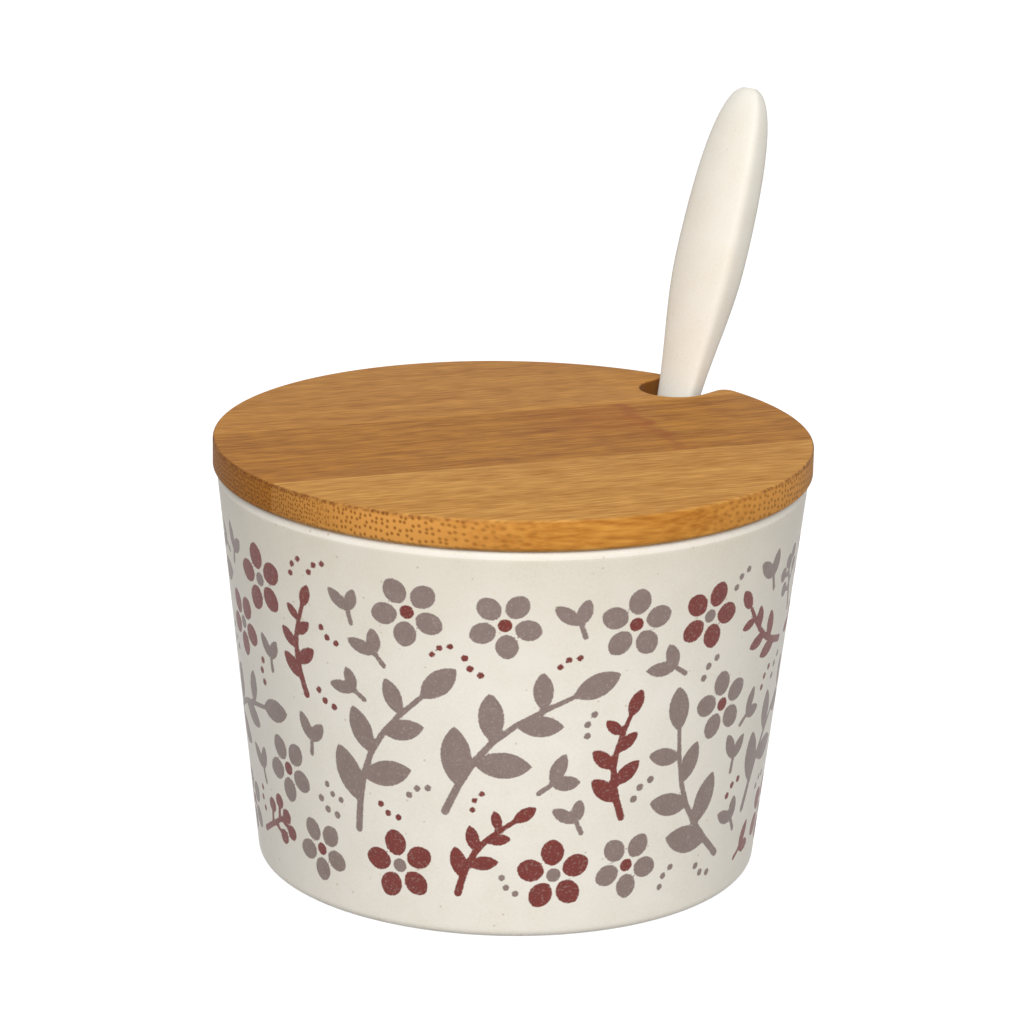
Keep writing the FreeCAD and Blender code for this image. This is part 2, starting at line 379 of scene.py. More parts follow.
@dataclass(frozen=True, kw_only=True)
class LaminatedBamboo(Opaque):
    """Bamboo staves, pressed flat, glued edge to edge, turned and sanded, with a thin coat of oil.

    Long fibres give the eye fine streaks along the grain. Where the grain is cut across, its bundles show as
    brown dots, closer together and on a darker ground towards the side that was the culm's outside. The top
    edge there is scorched a little by the turning tool. Painted shade browns the notch's walls, and a painted
    warm tint on the upright faces stands for their light differing from the top's. Lengths are in
    millimetres, and the grain's coordinates are along, across and up.
    """

    grain_azimuth: float
    seat: float
    top: float
    notch_reach: float
    tone: str = "#DAA254"
    streak: str = "#AF732F"
    end_tone: str = "#DDA560"
    outer_tone: str = "#DDA560"
    bundle: str = "#7E4E1C"
    scorch: str = "#6E3A16"
    # Painted shade: the notch's upright walls are browned as if in shadow
    painted_notch_shade: str = "#7C4B13"
    # Painted light: upright faces get a warmer tint than the top, for how the light falls on them
    painted_side_tint: str = "#FFF0D0"
    culm_node: CulmNode | None = None
    offset: float = 0.0
    # Real fibres are finer: they are drawn as coarse as they need to show
    fibre_width: float = 0.8
    fibre_length: float = 6.0
    fibre_weight: float = 2.0
    band_width: float = 4.0
    band_length: float = 72.0
    streak_range: Pair = (1.05, 1.95)
    end_range: Pair = (0.25, 0.65)
    dense_across: float = -90.0
    dense_fade: float = 3.0
    outer_fade: Pair = (8.0, 10.0)
    wide_spacing: float = 1.2
    dense_spacing: float = 0.85
    bundle_slope: float = 0.12
    bundle_flatness: float = 1.6
    bundle_scatter: float = 0.55
    bundle_edge: Pair = (0.1, 0.38)
    dash_strength: float = 0.16
    dot_strength: float = 0.8
    dense_strength: float = 0.8
    upright_range: Pair = (0.2, 0.7)
    scorch_reach: Pair = (1.0, 0.3)
    scorch_strength: float = 0.75
    scorch_size: float = 1.3
    scorch_range: Pair = (0.38, 0.58)
    scorch_least: float = 0.25
    roughness: float = 0.6
    sheen: float = 0.12
    relief: float = 0.06
    relief_strength: float = 0.3

    def streaks(self, tree: Tree, grain: Socket, length: float, width: float, detail: float) -> Socket:
        """Gives streaks along the grain, from the stave's own stretch of the pattern.

        Args:
            tree: Node tree of the material.
            grain: Place along, across and up from the grain.
            length: Length of a streak.
            width: Its width across the grain and up.
            detail: How many times finer streaks are laid over it.

        Returns:
            The streaks, from 0 to 1.
        """
        moved = add_node(tree, "VectorMath", (grain, (self.offset,) * 3), operation="ADD")
        cells = (1 / length, 1 / width, 1 / width)
        stretched = add_node(tree, "VectorMath", (moved, cells), operation="MULTIPLY")
        return add_node(tree, "TexNoise", {"Vector": stretched, "Scale": 1.0, "Detail": detail})

    def squareness(self, tree: Tree, axis: Place) -> Socket:
        """Tells how squarely the surface lies to an axis.

        Args:
            tree: Node tree of the material.
            axis: The axis, of length 1.

        Returns:
            0 where the surface runs along the axis, up to 1 where it cuts it across.
        """
        normal = add_node(tree, "NewGeometry", output="True Normal")
        facing = add_node(tree, "VectorMath", (normal, axis), "Value", operation="DOT_PRODUCT")
        return add_node(tree, "Math", (facing,), operation="ABSOLUTE")

    def bundles(self, tree: Tree, grain: Socket, spacing: float) -> Socket:
        """Gives the bundles of fibre: flat cells across the grain that rise slightly along it.

        Args:
            tree: Node tree of the material.
            grain: Place along, across and up from the grain.
            spacing: Distance between two bundles.

        Returns:
            1 inside a bundle and 0 outside.
        """
        axes = add_node(tree, "SeparateXYZ", (grain,)).node.outputs
        risen = add_node(tree, "Math", (axes["X"], self.bundle_slope, axes["Z"]), operation="MULTIPLY_ADD")
        squeezed = add_node(tree, "Math", (axes["Y"], self.bundle_flatness), operation="MULTIPLY")
        cut = add_node(tree, "CombineXYZ", (squeezed, risen))
        cells = {"Vector": cut, "Scale": 1 / spacing, "Randomness": self.bundle_scatter}
        reach = add_node(tree, "TexVoronoi", cells, voronoi_dimensions="2D")
        return add_node(tree, "MapRange", (reach, *self.bundle_edge, 1.0, 0.0))

    def node_marks(self, tree: Tree, grain: Socket, colour: Socket) -> Socket:
        """Lays the culm's node over a stave's colour.

        Args:
            tree: Node tree of the material.
            grain: Place along, across and up from the grain.
            colour: The stave's colour.

        Returns:
            The colour with the node's line and dusky patch.
        """
        mark = self.culm_node
        axes = add_node(tree, "SeparateXYZ", (grain,)).node.outputs
        wave = add_node(tree, "TexNoise", {"Vector": grain, "Scale": 1 / mark.wave_size, "Detail": 3.0})
        back = -mark.along - mark.wave_height / 2
        waver = add_node(tree, "Math", (wave, mark.wave_height, back), operation="MULTIPLY_ADD")
        past = add_node(tree, "Math", (axes["X"], waver), operation="ADD")
        off_line = add_node(tree, "Math", (past,), operation="ABSOLUTE")
        aside = add_node(tree, "Math", (axes["Y"], -mark.dusk_across), operation="ADD")
        reach = add_node(tree, "Math", (aside,), operation="ABSOLUTE")
        streaks = self.streaks(tree, grain, mark.streak_length, mark.streak_width, 3.0)
        line, *dusk = (
            add_node(tree, "MapRange", limits)
            for limits in (
                (off_line, *mark.line_reach, mark.line_strength, 0.0),
                (past, *mark.dusk_rise),
                (past, *mark.dusk_fall, 1.0, 0.0),
                (reach, *mark.dusk_reach, 1.0, mark.dusk_edge),
                (streaks, *mark.streak_range, *mark.streak_strength),
            )
        )
        return lay_over(tree, colour, (mark.dusk, *dusk), (mark.line, line))

    def tool_marks_and_painted_shade(self, tree: Tree, grain: Socket, end: Socket, colour: Socket) -> Socket:
        """Tints the upright faces warmer than the top, a painted difference of light, browns the turned top
        edge, and paints shade into the notch.

        Args:
            tree: Node tree of the material.
            grain: Place along, across and up from the grain.
            end: How far the surface counts as cut across the grain.
            colour: The colour before.

        Returns:
            The colour after.
        """
        flat = self.squareness(tree, (0.0, 0.0, 1.0))
        upright = add_node(tree, "MapRange", (flat, *self.upright_range, 1.0, 0.0))
        # Painted light: the upright faces are tinted warmer than the top
        side_tinted = lay_over(tree, colour, (self.painted_side_tint, upright), blend=Blend.DEEPEN)
        up = add_node(tree, "SeparateXYZ", (grain,)).node.outputs["Z"]
        start, full = (self.top - reach for reach in self.scorch_reach)
        near_top = add_node(tree, "MapRange", (up, start, full, 0.0, self.scorch_strength))
        ragged = add_node(tree, "TexNoise", {"Vector": grain, "Scale": 1 / self.scorch_size, "Detail": 2.0})
        broken = add_node(tree, "MapRange", (ragged, *self.scorch_range, self.scorch_least, 1.0))
        level = add_node(tree, "VectorMath", (grain, (1.0, 1.0, 0.0)), operation="MULTIPLY")
        reach = add_node(tree, "VectorMath", (level,), "Value", operation="LENGTH")
        # Painted shade: upright faces inside the notch, above the seat, are darkened
        inside = add_node(tree, "Math", (reach, self.notch_reach), operation="LESS_THAN")
        above = add_node(tree, "Math", (up, self.seat), operation="GREATER_THAN")
        scorched = (self.scorch, near_top, broken, end)
        return lay_over(tree, side_tinted, scorched, (self.painted_notch_shade, inside, above, upright))

    def layers(self, tree: Tree) -> tuple[Socket, Socket]:
        """Gives the colour, in streaks along the grain and dots across it, and the relief of both.

        Args:
            tree: Node tree of the material.

        Returns:
            The colour and the height of the relief.
        """
        azimuth = math.radians(self.grain_azimuth)
        turned = {"Vector": own_place(tree), "Angle": -azimuth}
        grain = add_node(tree, "VectorRotate", turned, rotation_type="Z_AXIS")
        across = add_node(tree, "SeparateXYZ", (grain,)).node.outputs["Y"]
        square = self.squareness(tree, (math.cos(azimuth), math.sin(azimuth), 0.0))
        end = add_node(tree, "MapRange", (square, *self.end_range))
        fibres = self.streaks(tree, grain, self.fibre_length, self.fibre_width, 4.0)
        bands = self.streaks(tree, grain, self.band_length, self.band_width, 2.0)
        both = add_node(tree, "Math", (fibres, self.fibre_weight, bands), operation="MULTIPLY_ADD")
        streaked = add_node(tree, "MapRange", (both, *self.streak_range))
        long_grain = lay_over(tree, self.tone, (self.streak, streaked))
        if self.culm_node:
            long_grain = self.node_marks(tree, grain, long_grain)
        inwards, outwards = self.dense_across - self.outer_fade[0], self.dense_across + self.outer_fade[1]
        outer = add_node(tree, "MapRange", (across, inwards, outwards))
        end_grain = lay_over(tree, self.end_tone, (self.outer_tone, outer))
        fade = self.dense_across - self.dense_fade, self.dense_across + self.dense_fade
        dense = add_node(tree, "MapRange", (across, *fade))
        wide_bundles = self.bundles(tree, grain, self.wide_spacing)
        dense_bundles = self.bundles(tree, grain, self.dense_spacing)
        bundles = add_node(tree, "Mix", {0: dense, 2: wide_bundles, 3: dense_bundles})
        peak = add_node(tree, "MapRange", (dense, 0.0, 1.0, self.dot_strength, self.dense_strength))
        strength = add_node(tree, "MapRange", (end, 0.0, 1.0, self.dash_strength, peak))
        dotted = lay_over(tree, long_grain, (end_grain, end), (self.bundle, bundles, strength))
        relief = add_node(tree, "Math", (fibres, bundles), operation="SUBTRACT")
        return self.tool_marks_and_painted_shade(tree, grain, end, dotted), relief


def add_piece(name: str, mesh: bpy.types.Mesh, finish: Finish) -> bpy.types.Object:
    """Puts a mesh into the scene as a piece with one finish.

    Args:
        name: The piece's name.
        mesh: Its mesh, in the frame's own place.
        finish: Its finish.

    Returns:
        The new object.
    """
    piece = bpy.data.objects.new(name, mesh)
    bpy.context.scene.collection.objects.link(piece)
    mesh.materials.append(finish.build())
    return piece


def take_place(piece: bpy.types.Object, node: str, body: str) -> bpy.types.Object:
    """Puts a piece in the place of a plain one.

    Args:
        piece: The dressed piece.
        node: Node that it replaces.
        body: Body that it rides on.

    Returns:
        The same piece.
    """
    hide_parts(node)
    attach(piece, body)
    return piece


def skin(draft: Draft, rings: Iterable[Iterable[Sequence[float]]]) -> list[Loop]:
    """Lays faces from ring to ring, where one of two rings may have a multiple of the other's points.

    Args:
        draft: Mesh in the making.
        rings: Points of each ring.

    Returns:
        The mesh points of each ring.
    """
    loops = [[draft.verts.new(point) for point in ring] for ring in rings]
    for lower, upper in zip(loops, loops[1:]):
        count = min(len(lower), len(upper))
        low_share, high_share = len(lower) // count, len(upper) // count
        for index in range(count):
            along = [lower[(index * low_share + step) % len(lower)] for step in range(low_share + 1)]
            back = [upper[(index * high_share + step) % len(upper)] for step in range(high_share, -1, -1)]
            draft.faces.new(along + back)
    return loops


def finish_mesh(draft: Draft, name: str, sharp_degrees: float) -> bpy.types.Mesh:
    """Turns a mesh in the making to a smooth-shaded mesh with its sharp edges kept.

    Args:
        draft: Mesh in the making, in millimetres, which is freed.
        name: Name of the new mesh.
        sharp_degrees: Edges that turn by more than this stay sharp.

    Returns:
        The new mesh.
    """
    bmesh.ops.recalc_face_normals(draft, faces=draft.faces)
    mesh = bpy.data.meshes.new(name)
    draft.to_mesh(mesh)
    draft.free()
    mesh.transform(Matrix.Scale(MM, 4))
    mesh.shade_smooth()
    mesh.set_sharp_from_angle(angle=math.radians(sharp_degrees))
    return mesh


@dataclass(frozen=True)
class Disc:
    """A round spot of ink, in millimetres on the print sheet."""

    x: float
    y: float
    radius: float

    def distance(self, x: np.ndarray, y: np.ndarray) -> np.ndarray:
        """Gives the distance of points from the spot's edge, below 0 inside it."""
        return np.hypot(x - self.x, y - self.y) - self.radius


@dataclass(frozen=True)
class Leaf:
    """A pointed leaf or petal between two arcs, from its foot along an angle."""

    x: float
    y: float
    angle: float
    length: float
    half_width: float

    def distance(self, x: np.ndarray, y: np.ndarray) -> np.ndarray:
        """Measures points from the leaf's edge.

        Args:
            x: Their places along the sheet.
            y: Their places up the sheet.

        Returns:
            About their distances, below 0 inside the leaf.
        """
        cos, sin = math.cos(self.angle), math.sin(self.angle)
        along = (x - self.x) * cos + (y - self.y) * sin - self.length / 2
        across = np.abs((y - self.y) * cos - (x - self.x) * sin)
        radius = (self.length ** 2 / 4 + self.half_width ** 2) / (2 * self.half_width)
        return np.hypot(along, across + radius - self.half_width) - radius


@dataclass(frozen=True)
class Stroke:
    """A straight stroke with round ends that thins towards its second end."""

    start: Pair
    end: Pair
    half_start: float
    half_end: float

    def distance(self, x: np.ndarray, y: np.ndarray) -> np.ndarray:
        """Measures points from the stroke's edge.

        Args:
            x: Their places along the sheet.
            y: Their places up the sheet.

        Returns:
            Their distances, below 0 inside the stroke.
        """
        run_x, run_y = self.end[0] - self.start[0], self.end[1] - self.start[1]
        share = ((x - self.start[0]) * run_x + (y - self.start[1]) * run_y) / (run_x ** 2 + run_y ** 2)
        share = np.clip(share, 0, 1)
        gap = np.hypot(x - self.start[0] - share * run_x, y - self.start[1] - share * run_y)
        return gap - self.half_start + share * (self.half_start - self.half_end)


Motif = list[tuple[Ink, Disc | Leaf | Stroke]]


class MotifKind(Enum):
    """The kinds of motif on the print, named as the methods that draw them."""

    SPRIG = "sprig"
    BLOSSOM = "blossom"
    BERRIES = "berries"
    LEAF_PAIR = "leaf_pair"
    DOTS = "dots"


@dataclass(frozen=True)
class MotifMaker:
    """Draws one motif at a place, an angle and a length, all on the print sheet in millimetres.

    The sizes of a motif's marks are shares of its length, but its stems' half widths are fixed.
    """

    x: float
    y: float
    angle: float
    length: float
    ink: Ink

    def at(self, along: float, across: float) -> Pair:
        """Gives a point by its place along and across the motif."""
        cos, sin = math.cos(self.angle), math.sin(self.angle)
        return self.x + along * cos - across * sin, self.y + along * sin + across * cos

    def sprig(self) -> Motif:
        """Draws a bowed stem with leaves in turn on both sides and one at its tip.

        Returns:
            The sprig's marks.
        """
        steps = 6
        bow = 0.12 * self.length
        leaf = 0.36 * self.length
        stem = [
            self.at(self.length * (step / steps - 0.5), bow * math.sin(math.pi * step / steps))
            for step in range(steps + 1)
        ]
        marks: Motif = [
            (self.ink, Stroke(stem[step], stem[step + 1], 0.75 - 0.05 * step, 0.7 - 0.05 * step))
            for step in range(steps)
        ]
        for step in range(1, steps):
            side = 1 if step % 2 else -1
            turn = self.angle + side * math.radians(48)
            size = leaf * (1.1 - 0.09 * step)
            marks.append((self.ink, Leaf(*stem[step], turn, size, 0.24 * size)))
        marks.append((self.ink, Leaf(*stem[steps], self.angle - 0.35, 0.8 * leaf, 0.2 * leaf)))
        return marks

    def blossom(self) -> Motif:
        """Draws five petals round a spot of the other ink.

        Returns:
            The blossom's marks.
        """
        petals = 5
        petal = 0.42 * self.length
        foot = 0.15 * self.length
        other = Ink.GREY if self.ink is Ink.RED else Ink.RED
        marks: Motif = [(other, Disc(self.x, self.y, 0.11 * self.length))]
        for step in range(petals):
            turn = self.angle + step * FULL_TURN / petals
            start = self.x + foot * math.cos(turn), self.y + foot * math.sin(turn)
            marks.append((self.ink, Leaf(*start, turn, petal, 0.42 * petal)))
        return marks

    def berries(self) -> Motif:
        """Draws a twig with a berry at its tip and two on each side.

        Returns:
            The twig's marks.
        """
        foot = self.at(-0.5 * self.length, 0)
        tip = self.at(0.42 * self.length, 0)
        berry = 0.085 * self.length + 0.35
        marks: Motif = [(self.ink, Stroke(foot, tip, 0.6, 0.45)), (self.ink, Disc(*tip, berry))]
        for along, side in ((-0.12, 1), (-0.02, -1), (0.16, 1), (0.24, -1)):
            fork = self.at(along * self.length, 0)
            end = self.at((along + 0.18) * self.length, side * 0.24 * self.length)
            marks += [(self.ink, Stroke(fork, end, 0.5, 0.42)), (self.ink, Disc(*end, berry))]
        return marks

    def leaf_pair(self) -> Motif:
        """Draws two leaves that part from a short stalk.

        Returns:
            The pair's marks.
        """
        foot = self.at(-0.5 * self.length, 0)
        fork = self.at(-0.2 * self.length, 0)
        marks: Motif = [(self.ink, Stroke(foot, fork, 0.5, 0.45))]
        for side, size in ((1, 0.72), (-1, 0.6)):
            turn = self.angle + side * math.radians(32)
            marks.append((self.ink, Leaf(*fork, turn, size * self.length, 0.16 * self.length)))
        return marks

    def dots(self) -> Motif:
        """Draws three spots in a bent row.

        Returns:
            The spots.
        """
        row = ((-0.4, 0), (0, 0.12), (0.4, 0))
        places = [self.at(along * self.length, rise * self.length) for along, rise in row]
        return [(self.ink, Disc(*place, 0.13 * self.length)) for place in places]

    def draw(self, kind: MotifKind) -> Motif:
        """Draws a motif of one kind."""
        return getattr(self, kind.value)()


@dataclass
class PrintSheet:
    """The printed sheet: motifs scattered over a field, held as distances at the wall's mesh points.

    Lengths are in millimetres, along the sheet and up it. The sheet closes on itself round the bowl. Each
    row of the plan has a kind of motif, its ink, how many there are, and the least and the greatest length.
    """

    around: int
    heights: np.ndarray
    length: float
    margin_low: float = 4.0
    margin_high: float = 4.5
    gap: float = 1.9
    tilts: Pair = (20.0, 160.0)
    seed: int = 7
    far: float = 9.0
    tries: int = 160
    plan: Sequence[tuple[MotifKind, Ink, int, float, float]] = (
        (MotifKind.SPRIG, Ink.GREY, 12, 28.0, 33.0),
        (MotifKind.SPRIG, Ink.RED, 9, 17.0, 20.0),
        (MotifKind.BLOSSOM, Ink.GREY, 14, 11.0, 14.0),
        (MotifKind.BLOSSOM, Ink.RED, 9, 11.0, 13.0),
        (MotifKind.BERRIES, Ink.RED, 14, 12.0, 14.5),
        (MotifKind.BERRIES, Ink.GREY, 14, 12.0, 15.0),
        (MotifKind.LEAF_PAIR, Ink.GREY, 36, 7.5, 9.5),
        (MotifKind.LEAF_PAIR, Ink.RED, 22, 7.0, 9.0),
        (MotifKind.DOTS, Ink.GREY, 30, 5.0, 6.0),
        (MotifKind.DOTS, Ink.RED, 26, 4.5, 5.5),
    )
    fields: dict[Ink, np.ndarray] = field(init=False)

    def __post_init__(self) -> None:
        """Starts with an empty sheet and scatters the motifs over it."""
        self.fields = {ink: np.full((len(self.heights), self.around), self.far) for ink in Ink}
        self.scatter()

    def window(self, x: float, reach: float) -> tuple[np.ndarray, np.ndarray, np.ndarray]:
        """Picks the columns of the sheet near a place.

        Args:
            x: Place along the sheet.
            reach: How far to each side.

        Returns:
            The columns, and the places along and up the sheet of their points, unrolled about x.
        """
        step = self.length / self.around
        columns = np.arange(math.floor((x - reach) / step), math.ceil((x + reach) / step) + 1)
        across, up = np.meshgrid(columns * step, self.heights)
        return columns % self.around, across, up

    def lay(self, motif: Motif, x: float, reach: float) -> bool:
        """Lays a motif on the sheet if it is clear of those already there.

        Args:
            motif: The motif's marks.
            x: Its place along the sheet.
            reach: How far it reaches to each side.

        Returns:
            Whether it was laid.
        """
        columns, across, up = self.window(x, reach + self.gap)
        distances = {ink: np.full(across.shape, self.far) for ink in Ink}
        for ink, mark in motif:
            distances[ink] = np.minimum(distances[ink], mark.distance(across, up))
        new = np.minimum(distances[Ink.RED], distances[Ink.GREY])
        low, high = self.heights[0] + self.margin_low, self.heights[-1] - self.margin_high
        if np.any((new < 0) & ((up < low) | (up > high))):
            return False
        old = np.minimum(self.fields[Ink.RED][:, columns], self.fields[Ink.GREY][:, columns])
        if np.any((new < self.gap / 2) & (old < self.gap / 2)):
            return False
        for ink in Ink:
            self.fields[ink][:, columns] = np.minimum(self.fields[ink][:, columns], distances[ink])
        return True

    def scatter(self) -> None:
        """Scatters the planned motifs, largest kinds first, each at the first clear place that it finds."""
        draws = random.Random(self.seed)
        for kind, ink, count, least, most in self.plan:
            laid = 0
            for _ in range(count * self.tries):
                x = draws.uniform(0, self.length)
                y = draws.uniform(self.heights[0], self.heights[-1])
                angle = math.radians(draws.uniform(*self.tilts))
                size = draws.uniform(least, most)
                motif = MotifMaker(x, y, angle, size, ink).draw(kind)
                laid += self.lay(motif, x, size)
                if laid == count:
                    break
            LOG.info("print: %d of %d %s motifs, %s", laid, count, kind.value, ink.name.lower())


@dataclass
class Bowl:
    """The bowl: a turned wall on a foot ring, with the print on its outside. Lengths are in millimetres.

    The printed sheet ends under the rim, where a bare lip slopes inwards.
    """

    rim_radius: float = 54.7
    base_radius: float = 46.6
    rim_height: float = 75.1
    wall: float = 4.0
    floor_height: float = 5.0
    foot_recess: float = 1.5
    foot_width: float = 9.0
    outer_round: float = 1.8
    inner_round: float = 8.0
    rim_round: float = 0.7
    foot_round: float = 0.5
    lip_height: float = 1.7
    lip_inset: float = 0.7
    fine_count: int = 576
    coarse_count: int = 144
    print_pitch: float = 0.55
    arc_steps: int = 6
    inner_wall_steps: int = 12
    floor_shares: Pair = (0.66, 0.33)
    sharp_degrees: float = 35.0

    @property
    def sheet_top(self) -> float:
        """Height at which the printed sheet ends."""
        return self.rim_height - self.lip_height

    def radius_at(self, height: float) -> float:
        """Gives the outer radius of the wall at a height."""
        return self.base_radius + (self.rim_radius - self.base_radius) * height / self.rim_height

    def arc(self, corner: Vector, before: Vector, after: Vector, size: float) -> list[Pair]:
        """Rounds a corner of the profile.

        Args:
            corner: The sharp corner, as radius and height.
            before: A point of the profile before it.
            after: A point of the profile after it.
            size: Radius of the round.

        Returns:
            Points of the round, in the profile's order.
        """
        back, on = (before - corner).normalized(), (after - corner).normalized()
        half = back.angle(on) / 2
        centre = corner + (back + on).normalized() * (size / math.sin(half))
        first = corner + back * (size / math.tan(half)) - centre
        last = corner + on * (size / math.tan(half)) - centre
        spokes = [first.slerp(last, step / self.arc_steps) for step in range(self.arc_steps + 1)]
        return [tuple(centre + size * spoke.normalized()) for spoke in spokes]

    def corners(self) -> dict[str, Vector]:
        """Places the sharp corners of the profile.

        Returns:
            Radius and height of each corner, by name.
        """
        foot_inner = self.base_radius - self.outer_round - self.foot_width
        return {
            "recess": Vector((foot_inner - self.foot_recess, self.foot_recess)),
            "foot": Vector((foot_inner, 0)),
            "base": Vector((self.base_radius, 0)),
            "rim": Vector((self.rim_radius, self.rim_height)),
            "mouth": Vector((self.rim_radius - self.wall, self.rim_height)),
            "floor": Vector((self.radius_at(self.floor_height) - self.wall, self.floor_height)),
            "middle": Vector((0, self.floor_height)),
        }

    def rings(self) -> tuple[list[tuple[float, float, int]], int, np.ndarray]:
        """Lists the rings of points from the middle of the foot to the middle of the floor.

        Returns:
            Each ring's radius, height and count of points, the place of the wall's first ring in that list,
            and the heights of the wall's rings.
        """
        corner = self.corners()
        under = [(corner["recess"].x / 2, corner["recess"].y), tuple(corner["recess"])]
        under += self.arc(corner["foot"], corner["recess"], corner["base"], self.foot_round)
        outside = self.arc(corner["base"], corner["foot"], corner["rim"], self.outer_round)
        low, high = outside[-1][1], self.sheet_top
        heights = np.linspace(low, high, round((high - low) / self.print_pitch) + 1)
        wall = [(self.radius_at(height), height) for height in heights]
        lip_top = corner["rim"] - Vector((self.lip_inset, 0))
        rim = self.arc(lip_top, Vector(wall[-1]), corner["mouth"], self.rim_round)
        mouth = self.arc(corner["mouth"], corner["rim"], corner["floor"], self.rim_round)
        inside = self.arc(corner["floor"], corner["mouth"], corner["middle"], self.inner_round)
        first, last = Vector(mouth[-1]), Vector(inside[0])
        shares = [step / self.inner_wall_steps for step in range(1, self.inner_wall_steps)]
        inner_wall = [tuple(first.lerp(last, share)) for share in shares]
        floor = [(inside[-1][0] * share, self.floor_height) for share in self.floor_shares]
        stretches = (
            (under, self.coarse_count),
            (outside[:-1] + wall + rim, self.fine_count),
            (mouth + inner_wall + inside + floor, self.coarse_count),
        )
        rings = [(radius, height, count) for points, count in stretches for radius, height in points]
        return rings, len(under) + len(outside) - 1, heights

    def mesh(self) -> bpy.types.Mesh:
        """Turns the rings to a closed mesh and lays the print's distances on its wall.

        Returns:
            The bowl's mesh.
        """
        rings, wall_start, heights = self.rings()
        circles = []
        for radius, height, count in rings:
            turns = [FULL_TURN * index / count for index in range(count)]
            circles.append([(radius * math.cos(turn), radius * math.sin(turn), height) for turn in turns])
        draft = bmesh.new()
        loops = skin(draft, circles)
        for loop, height in ((loops[0], rings[0][1]), (loops[-1], rings[-1][1])):
            middle = draft.verts.new((0, 0, height))
            for vert, following in zip(loop, loop[1:] + loop[:1]):
                draft.faces.new((vert, following, middle))
        mesh = finish_mesh(draft, "bowl_printed", self.sharp_degrees)
        sheet = PrintSheet(self.fine_count, heights, FULL_TURN * self.radius_at(self.rim_height / 2))
        first = sum(count for _, _, count in rings[:wall_start])
        for ink, distances in sheet.fields.items():
            values = np.full(len(mesh.vertices), sheet.far, np.float32)
            values[first:first + distances.size] = distances.ravel()
            mesh.attributes.new(ink.value, "FLOAT", "POINT").data.foreach_set("value", values)
        return mesh

    def build(self) -> bpy.types.Object:
        """Makes the printed bowl in place of the plain one."""
        finish = PrintedMoulding("bamboo_fibre_moulded_printed", sheet_top=self.sheet_top)
        return take_place(add_piece("bowl_printed", self.mesh(), finish), "bowl", "bowl")


